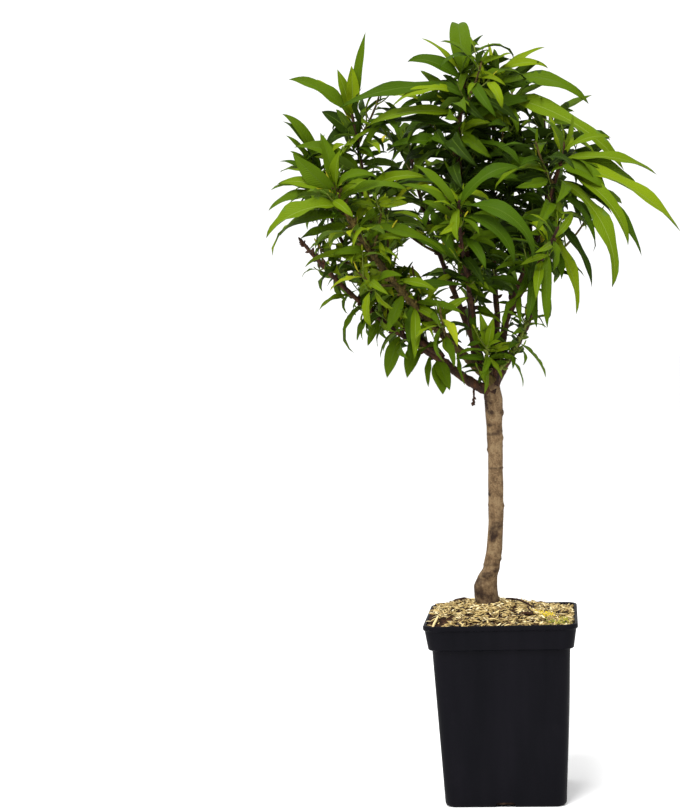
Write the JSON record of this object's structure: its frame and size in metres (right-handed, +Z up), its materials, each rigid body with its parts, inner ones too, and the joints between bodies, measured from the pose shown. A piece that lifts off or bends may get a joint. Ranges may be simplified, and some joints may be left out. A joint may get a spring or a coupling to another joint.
{
  "type": "dwarf peach tree in its pot",
  "caption": "Dwarf peach tree with a short clear stem and a round crown of long narrow leaves, growing in a square nursery pot.",
  "frame": {"origin": "middle of the pot's flat underside, where the pot stands on the ground", "axes": "+Z up the stem, +X to the right and +Y to the back, square to the pot's sides"},
  "size_m": [0.491, 0.327, 0.9232],
  "materials": {
    "pot": "matte charcoal black, injection moulded",
    "growing_mix": "moist, crumbly",
    "mulch": "dry straw-coloured husks and chips",
    "trunk_bark": "dull tan-grey bark",
    "bough_bark": "dull red-brown bark",
    "foliage": "satin green leaves"
  },
  "bodies": {
    "root": {"pot": "pot", "growing_mix": "growing_mix", "mulch": "mulch", "trunk": "trunk_bark", "low_left_bough": "bough_bark", "left_front_bough": "bough_bark", "centre_bough": "bough_bark", "right_bough": "bough_bark", "back_centre_bough": "bough_bark", "back_left_bough": "bough_bark", "back_right_bough": "bough_bark", "dead_spur": "bough_bark", "left_low_mass": "foliage", "left_upper_mass": "foliage", "left_front_mass": "foliage", "left_outer_mass": "foliage", "front_mass": "foliage", "centre_top_mass": "foliage", "upper_right_mass": "foliage", "right_mass": "foliage", "right_low_mass": "foliage", "back_left_mass": "foliage", "back_right_mass": "foliage", "fork_left_mass": "foliage", "fork_right_mass": "foliage"}
  },
  "joints": []
}
